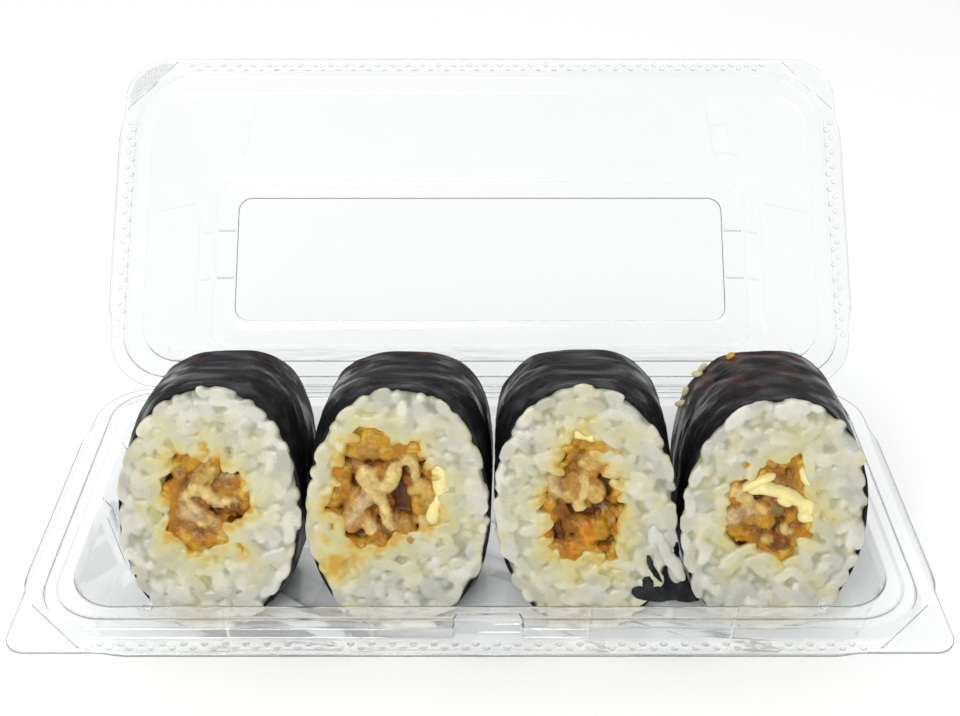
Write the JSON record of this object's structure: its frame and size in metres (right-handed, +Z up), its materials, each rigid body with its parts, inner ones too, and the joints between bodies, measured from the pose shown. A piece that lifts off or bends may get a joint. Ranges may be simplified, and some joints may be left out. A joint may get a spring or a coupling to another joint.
{
  "type": "takeaway sushi tray",
  "caption": "Clear hinged takeaway box, lid open, with thick seaweed-wrapped rice rolls standing side by side, cut faces to the front.",
  "frame": {"origin": "middle of the tray's underside, in line with the middle of its length and depth", "axes": "+X along the row of rolls, +Y from the front edge to the hinge, +Z up"},
  "size_m": [0.213, 0.1894, 0.0874],
  "materials": {
    "clear_plastic": "clear, thin and glossy, with fine stipple on the corner tabs",
    "seaweed": "near-black dried seaweed sheet, finely wrinkled, with a grey sheen",
    "rice": "moist off-white cooked rice grains, slightly see-through",
    "filling": "cooked meat strips in brown sauce, moist",
    "cream": "pale yellow cream sauce, glossy"
  },
  "bodies": {
    "tray": {"tray": "clear_plastic", "nori_1": "seaweed", "nori_2": "seaweed", "nori_3": "seaweed", "nori_4": "seaweed", "rice_1": "rice", "rice_2": "rice", "rice_3": "rice", "rice_4": "rice", "filling_1": "filling", "filling_2": "filling", "filling_3": "filling", "filling_4": "filling", "cream_2": "cream", "cream_3": "cream", "cream_4": "cream"},
    "lid": {"lid": "clear_plastic"}
  },
  "joints": [
    {"name": "lid_crease", "type": "hinge", "parent": "tray", "child": "lid", "pos_m": [0, 0.05, 0.01865], "axis": [1, 0, 0], "range_deg": [0, 136.5]}
  ]
}
